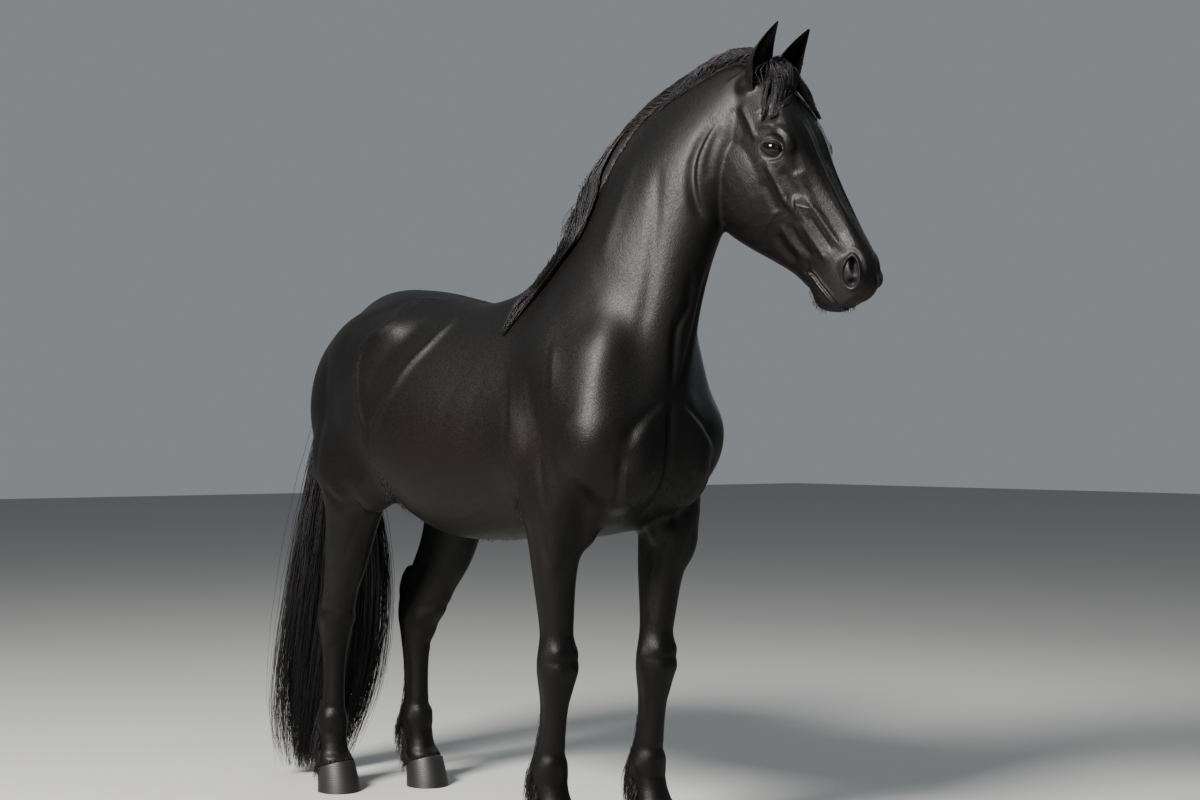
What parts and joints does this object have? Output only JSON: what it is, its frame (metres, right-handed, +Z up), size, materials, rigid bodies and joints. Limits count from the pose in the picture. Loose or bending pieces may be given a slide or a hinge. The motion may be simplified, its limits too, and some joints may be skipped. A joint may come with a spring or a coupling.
{
  "type": "horse",
  "caption": "Life-size standing horse of heavy-maned stallion type, head high and turned a little left, full tail to the ground, resting on its hooves.",
  "frame": {"origin": "middle of the bottom of the whole animal's bounding box, on the floor under the belly", "axes": "-Y ahead, the way the chest faces; +X the animal's left; +Z up"},
  "size_m": [0.6382, 2.3712, 2.2095],
  "materials": {
    "coat": "glossy black summer coat",
    "long_hair": "black long hair with a slight sheen",
    "hoof_horn": "dark horn, satin",
    "eye": "wet and glossy, dark brown"
  },
  "bodies": {
    "root": {"head": "coat", "neck": "coat", "trunk": "coat", "leg_front_left": "coat", "leg_front_right": "coat", "leg_hind_left": "coat", "leg_hind_right": "coat", "ear_left": "coat", "ear_right": "coat", "eye_left": "eye", "eye_right": "eye", "hoof_front_left": "hoof_horn", "hoof_front_right": "hoof_horn", "hoof_hind_left": "hoof_horn", "hoof_hind_right": "hoof_horn", "mane": "long_hair", "forelock": "long_hair", "tail": "long_hair"}
  },
  "joints": []
}
